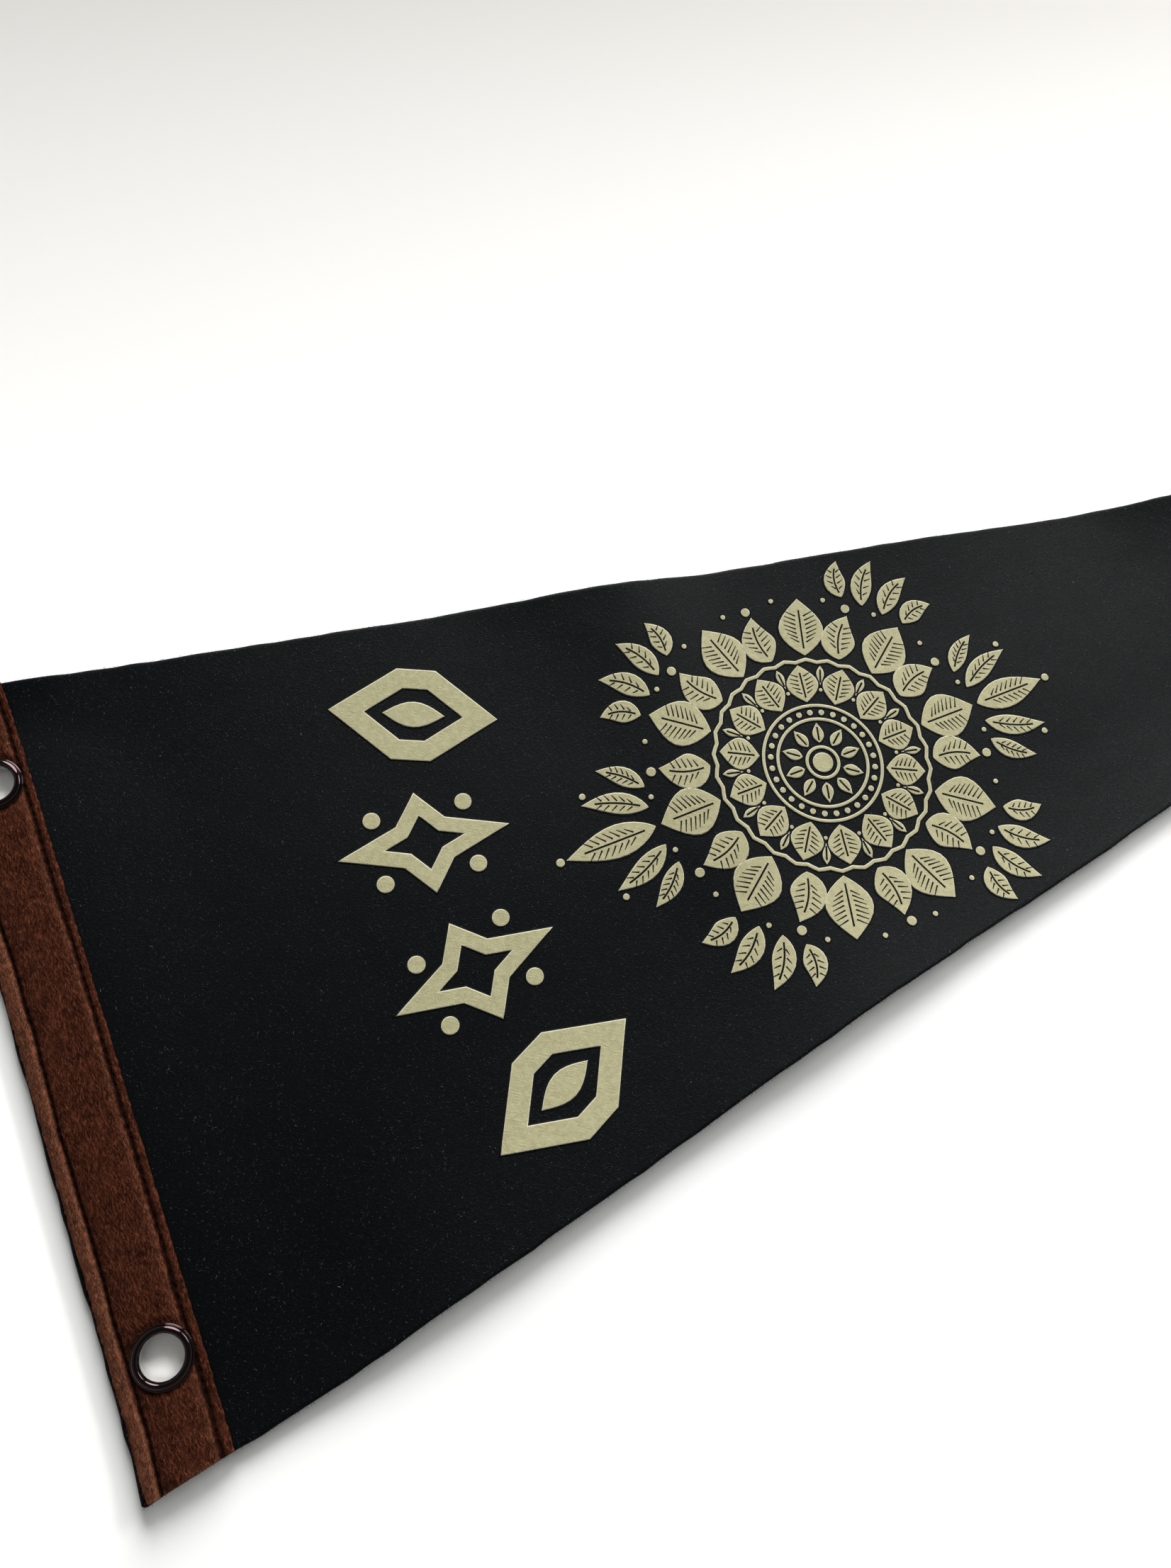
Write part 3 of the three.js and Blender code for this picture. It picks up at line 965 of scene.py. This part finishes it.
class PENNANT_OT_strip(bpy.types.Operator):
    """Adds the plush header strip, with its two seam grooves and its two holes"""

    bl_idname = "pennant.strip"
    bl_label = "Header strip"

    def execute(self, context):
        near_edge = (0, 0.1, 0.25, 0.6, 1.1)
        along, across, cut_off = cloth_grid(
            STRIP_SET_BACK, STRIP_WIDTH, near_edge, STRIP_ROWS, STRIP_COLUMNS, STRIP_END_INSET - END_COVER
        )
        low = underside(along, across) + FELT_THICKNESS + GAP
        from_end = half_width(along, across) - cut_off - np.abs(across)
        share = strayed((along - STRIP_SET_BACK) / STRIP_WIDTH, across)
        # Painted shade and light: deep darkens the seam grooves and the painted shade beside them; light
        # is the strip's lighter cut ends, its own colour, plus painted light on the margin and fringe.
        off_seams = from_seams(share) + 0.16 * noise(along, across, 0.9, 10)
        painted_tone = painted_band_light(share)
        deep = np.exp(-((off_seams / 0.5) ** 4)) - painted_tone
        light = 0.45 * np.exp(-((from_end / 0.5) ** 2)) + painted_tone
        values = {"deep": np.clip(deep, 0, 0.9), "light": np.clip(light, 0, 1)}
        values = {name: np.tile(value.ravel(), 2) for name, value in values.items()}
        from_end = np.clip(from_end / 0.35, 0, 1)
        full = 0.55 + 0.45 * np.sqrt(1 - (1 - from_end) ** 2)
        high = low + strip_thickness(along, across) * full
        ragged = 0.22 * noise(across, along, 1.1, 9)
        at_outside = np.exp(-((along - STRIP_SET_BACK) ** 2))
        at_border = np.exp(-(((along - HEADER_WIDTH) / 1.2) ** 2)) - at_outside
        pulled = (0.1 + 0.3 * np.clip(-across / 90, 0, 1)) * at_outside
        shifted = along + ragged * at_border + pulled
        solid = skin(flag_point(shifted, across, high), flag_point(shifted, across, low))
        piece = new_piece("plush_strip", solid, plush_ground(context.scene.pennant), values)
        bore(piece)
        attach(piece, "root")
        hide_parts("header_strip")
        return {"FINISHED"}


class PENNANT_OT_pile(bpy.types.Operator):
    """Adds the strip's short pile, combed along the strip in slow swirls"""

    bl_idname = "pennant.pile"
    bl_label = "Plush pile"

    def execute(self, context):
        settings = context.scene.pennant
        rng = np.random.default_rng(31)
        drawn = 2 * settings.pile_count
        along = rng.uniform(STRIP_SET_BACK + 0.3, HEADER_WIDTH - 0.15, drawn)
        across = rng.uniform(-1, 1, drawn)
        across *= half_width(along, across) - corner_cut(along - STRIP_SET_BACK, CORNER_RADIUS) - 0.4
        share = strayed((along - STRIP_SET_BACK) / STRIP_WIDTH, across)
        clear = (from_eyelets(along, across)[0] > FLANGE_RADIUS + 0.2) & (from_seams(share) > 0.3)
        kept = np.flatnonzero(clear)[:settings.pile_count]
        along, across, share = along[kept], across[kept], share[kept]
        out = from_eyelets(along, across)[1]
        count = len(kept)
        heading = math.radians(-100) + 0.45 * noise(along, across, 8, 32) + rng.normal(0, 0.32, count)
        lean = np.radians(rng.uniform(18, 46, count))
        length = settings.pile_length / MM * rng.uniform(0.55, 1.15, count)
        reach = length * np.cos(lean)
        root = flag_point(along, across, strip_top(along, across) - 0.1)
        borders = np.array((0.1 / STRIP_WIDTH, *SEAM_SHARES, 1 + 0.6 / STRIP_WIDTH))
        band = np.searchsorted(borders, share) - 1
        inward = rng.uniform(0, 0.4, (count, 1)) / STRIP_WIDTH * np.array([(0, 1), (1, 1), (1, 0)])[band]
        nearest = borders[band] + inward[:, 0] - share
        farthest = borders[band + 1] - inward[:, 1] - share
        shift = np.clip(reach * np.cos(heading) / STRIP_WIDTH, nearest, farthest)
        tip_along = along + shift * STRIP_WIDTH
        tip_across = np.clip(
            across + reach * np.sin(heading),
            0.1 - half_width(tip_along, -1), half_width(tip_along, 1) - 0.1,
        )
        near_ring = from_eyelets(tip_along, tip_across)[0] < FLANGE_RADIUS + 0.05
        tip_along = np.where(near_ring, along + 0.3 * out[:, 0], tip_along)
        tip_across = np.where(near_ring, across + 0.3 * out[:, 1], tip_across)
        height = strip_top(np.clip(tip_along, STRIP_SET_BACK, HEADER_WIDTH), tip_across)
        tip = flag_point(tip_along, tip_across, height + length * np.sin(lean) * 0.55)
        bend = rng.uniform(-0.12, 0.12, (count, 3))
        bend[:, 2] = rng.uniform(0.0, 0.18, count)
        solid = strands(root, tip, bend, rng.uniform(*STRAND_RADII, count))
        tuft = noise(along, across / 2.2, 0.8, 33) + 0.6 * noise(along, across / 1.5, 2.6, 34)
        own = np.clip(0.36 + 0.36 * tuft + rng.normal(0, 0.14, count), 0, 1)
        # Painted light and shade: each hair is darkened or lightened with the strip's painted tone across
        # its bands
        own *= np.clip(1 + 1.3 * painted_band_light(share), 0.2, 2)
        own += 0.4 * np.exp((np.abs(across) - half_width(along, across)) / 0.5)
        shade = np.stack([0.3 * own, 0.8 * own, 0.8 * own, 0.8 * own, np.minimum(1, 1.4 * own)], axis=1)
        piece = new_piece("plush_pile", solid, plush_pile(settings), {"shade": shade.ravel()})
        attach(piece, "root")
        return {"FINISHED"}


class PENNANT_OT_stitches(bpy.types.Operator):
    """Adds the stitches of both seams, in the strip's grooves and on the felt's back"""

    bl_idname = "pennant.stitches"
    bl_label = "Stitches"

    def execute(self, context):
        t = along_path(7)
        solids = []
        for seam in SEAM_SHARES:
            along = STRIP_SET_BACK + seam * STRIP_WIDTH
            last = float(half_width(along, 1)) - STRIP_END_INSET - 1.5
            for middle in np.arange(-last + STITCH_PITCH / 2, last, STITCH_PITCH):
                if any(math.dist((along, middle), p) < FLANGE_RADIUS + 1.6 for p in EYELETS.values()):
                    continue
                across = middle + STITCH_PITCH * STITCH_SHARE * (t - 0.5)
                thick = THREAD_RADIUS * np.sqrt(np.maximum(0.04, 1 - (2 * t - 1) ** 4))
                line = along - (strayed(seam, across) - seam) * STRIP_WIDTH
                front = strip_top(line, across) - 0.24 + STITCH_ARCH * np.sin(np.pi * t)
                back = underside(line, across) - 0.02 - STITCH_ARCH * np.sin(np.pi * t)
                for height in (front, back):
                    x = line - LENGTH / 2 + 0.25 * (t - 0.5)
                    turn = np.linspace(0, 2 * np.pi, 7)[None, :-1]
                    points = np.stack([
                        x[:, None] + thick[:, None] * np.cos(turn),
                        np.broadcast_to(across[:, None], (7, 6)),
                        height[:, None] + thick[:, None] * np.sin(turn),
                    ], axis=-1)
                    solids.append(thread_solid(points))
        piece = new_piece("seam_stitches", joined(solids), sewing_thread(context.scene.pennant))
        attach(piece, "root")
        return {"FINISHED"}


def thread_solid(points):
    """Closed tube through rings of six points, each end closed by two quads across its ring."""
    rows = len(points)
    index = np.arange(rows * 6).reshape(rows, 6)
    after = np.roll(index, -1, axis=1)
    walls = np.stack([index[:-1], index[1:], after[1:], after[:-1]], axis=-1).reshape(-1, 4)
    first, last = index[0], index[-1]
    ends = [first[[0, 1, 2, 3]], first[[0, 3, 4, 5]], last[[3, 2, 1, 0]], last[[5, 4, 3, 0]]]
    return points.reshape(-1, 3), np.concatenate([walls, ends])


class PENNANT_OT_eyelets(bpy.types.Operator):
    """Adds the two eyelets: beaded rim, rounded dome, barrel and the roll behind the felt"""

    bl_idname = "pennant.eyelets"
    bl_label = "Eyelets"

    def execute(self, context):
        material = black_nickel(context.scene.pennant)
        rise = EYELET_TOP - FLANGE_BOTTOM
        # Front of the section: radius, share of the rise. Back of it: radius, height
        front = (
            (6, 0), (7.76, 0), (7.9, 0.12), (7.88, 0.26), (7.7, 0.34), (7.54, 0.35), (7.48, 0.45),
            (7.41, 0.62), (7.24, 0.76), (6.92, 0.89), (6.58, 0.97), (6.34, 1), (6.12, 0.97), (5.84, 0.86),
            (5.6, 0.68), (5.44, 0.45), (5.4, 0.15),
        )
        back = (
            (5.42, 3.8), (5.5, 2.4), (5.62, 1.2), (5.9, 0.4), (6.35, 0.02), (6.75, 0), (7.12, 0.25),
            (7.2, 0.6), (7, 0.88), (6.1, 0.9),
        )
        section = [(radius, FLANGE_BOTTOM + rise * height) for radius, height in front] + list(back)
        section = rounded(np.array(section, float)[::-1], 2)
        # Marks the barrel's lower inside, which the material paints pale as a painted reflection
        inside = (section[:, 0] < 5.6) & (section[:, 1] < FLANGE_BOTTOM + 0.5)
        values = {"inside": np.tile(inside.astype(float), EYELET_SIDES)}
        for name, (along, across) in EYELETS.items():
            centre = (along - LENGTH / 2, across)
            piece = new_piece(name + "_ring", revolved(section, centre, EYELET_SIDES), material, values)
            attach(piece, "root")
            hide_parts(name)
        return {"FINISHED"}


def add_print(name, shapes, centre, settings):
    """One piece of ink from a function of shapes, with the pressed felt that shows round it."""
    plain, grown = ([turned(grid, 0, centre) for grid in shapes(grow)] for grow in (0, PRESSED_MARGIN))
    solid, rim = laid_print(plain, INK_LIFT, INK_THICKNESS)
    # The border share becomes the ink's painted rim highlight
    ink = new_piece(name, solid, screen_ink(settings), {"shade": rim})
    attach(ink, "root")
    pressed, _ = laid_print(grown, PRESSED_LIFT, PRESSED_LIFT)
    shadow = new_piece(name + "_edge", pressed, pressed_felt())
    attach(shadow, "root")


class PENNANT_OT_motifs(bpy.types.Operator):
    """Adds the four bold printed motifs on their arc"""

    bl_idname = "pennant.motifs"
    bl_label = "Bold motifs"

    def execute(self, context):
        add_print("print_motifs", bold_motifs, (0.0, 0.0), context.scene.pennant)
        return {"FINISHED"}


class PENNANT_OT_rosette(bpy.types.Operator):
    """Adds the printed rosette with its finials and its dark lines"""

    bl_idname = "pennant.rosette"
    bl_label = "Rosette"

    def execute(self, context):
        add_print("print_rosette", rosette, ROSETTE_CENTRE, context.scene.pennant)
        grids = [grid + ROSETTE_CENTRE for grid in rosette_lines()]
        solid, _ = laid_print(grids, LINE_LIFT, LINE_THICKNESS)
        lines = new_piece("print_lines", solid, pressed_felt())
        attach(lines, "root")
        return {"FINISHED"}


class PENNANT_OT_stage(bpy.types.Operator):
    """Adds the pale floor, the soft lights and the camera at the photograph's angle"""

    bl_idname = "pennant.stage"
    bl_label = "Stage"

    def execute(self, context):
        scene, settings = context.scene, context.scene.pennant
        reach = 4000.0
        corners = reach * np.array([(-1, -1, 0), (1, -1, 0), (1, 1, 0), (-1, 1, 0)])
        floor = new_piece("floor", (corners, np.array([(0, 1, 2, 3)])), pale_floor())

        soft_light("key", *KEY_LIGHT, settings.key_power)
        soft_light("side", *SIDE_LIGHT, settings.side_power)

        world = bpy.data.worlds.new("pale room")
        world.use_nodes = True
        tree = world.node_tree
        upward = node(tree, "SeparateXYZ", {"Vector": node(tree, "TexCoord", {}, "Object")}, "Z")
        low = node(tree, "Math", {0: 1.0, 1: upward}, operation="SUBTRACT", use_clamp=True)
        low = node(tree, "Math", {0: low, 1: 2.0}, operation="POWER")
        walls = node(tree, "MapRange", {"Value": low, "To Min": 0.55, "To Max": 3.3})
        strength = node(tree, "Math", {0: walls, 1: settings.sky_strength}, operation="MULTIPLY")
        fill(tree, tree.nodes["Background"], {"Strength": strength, "Color": (1, 1, 1)})
        scene.world = world

        lens = bpy.data.cameras.new("camera")
        lens.sensor_width = SENSOR
        lens.lens = FOCAL_PIXELS / PHOTO_HEIGHT * SENSOR
        lens.clip_start = 0.01
        camera = bpy.data.objects.new("camera", lens)
        turn = np.eye(4)
        turn[:3, :3] = CAMERA_AXES
        turn[:3, 3] = np.array(CAMERA_PLACE) * MM
        camera.matrix_world = Matrix(turn.tolist())
        scene.collection.objects.link(camera)
        scene.camera = camera
        scene.view_settings.view_transform = "Standard"
        return {"FINISHED"}


def soft_light(name, heading, distance, size, power):
    """Oval area light in a direction from the header half, turned to it."""
    light = bpy.data.lights.new(name, "AREA")
    light.shape = "ELLIPSE"
    light.size, light.size_y = size
    light.energy = power
    back = np.array(heading) / np.linalg.norm(heading)
    right = np.cross((0, 0, 1), back)
    right /= np.linalg.norm(right)
    turn = np.eye(4)
    turn[:3, :3] = np.stack([right, np.cross(back, right), back], axis=1)
    turn[:3, 3] = np.array(LIT_PLACE) + distance * back
    lamp = bpy.data.objects.new(name, light)
    lamp.matrix_world = Matrix(turn.tolist())
    bpy.context.scene.collection.objects.link(lamp)


OPERATORS = (
    PENNANT_OT_stage,
    PENNANT_OT_felt,
    PENNANT_OT_fibres,
    PENNANT_OT_strip,
    PENNANT_OT_pile,
    PENNANT_OT_stitches,
    PENNANT_OT_eyelets,
    PENNANT_OT_motifs,
    PENNANT_OT_rosette,
)


class PENNANT_PT_panel(bpy.types.Panel):
    """Lists the settings and the operators"""

    bl_idname = "PENNANT_PT_panel"
    bl_label = "Pennant"
    bl_space_type = "VIEW_3D"
    bl_region_type = "UI"
    bl_category = "Pennant"

    def draw(self, context):
        for name in PennantSettings.__annotations__:
            self.layout.prop(context.scene.pennant, name)
        for operator in OPERATORS:
            self.layout.operator(operator.bl_idname)


CLASSES = (PennantSettings, *OPERATORS, PENNANT_PT_panel)


def register():
    for item in CLASSES:
        bpy.utils.register_class(item)
    bpy.types.Scene.pennant = PointerProperty(type=PennantSettings)


def unregister():
    del bpy.types.Scene.pennant
    for item in reversed(CLASSES):
        bpy.utils.unregister_class(item)


def main():
    register()
    for operator in OPERATORS:
        group, name = operator.bl_idname.split(".")
        getattr(getattr(bpy.ops, group), name)()


if __name__ == "__main__":
    main()
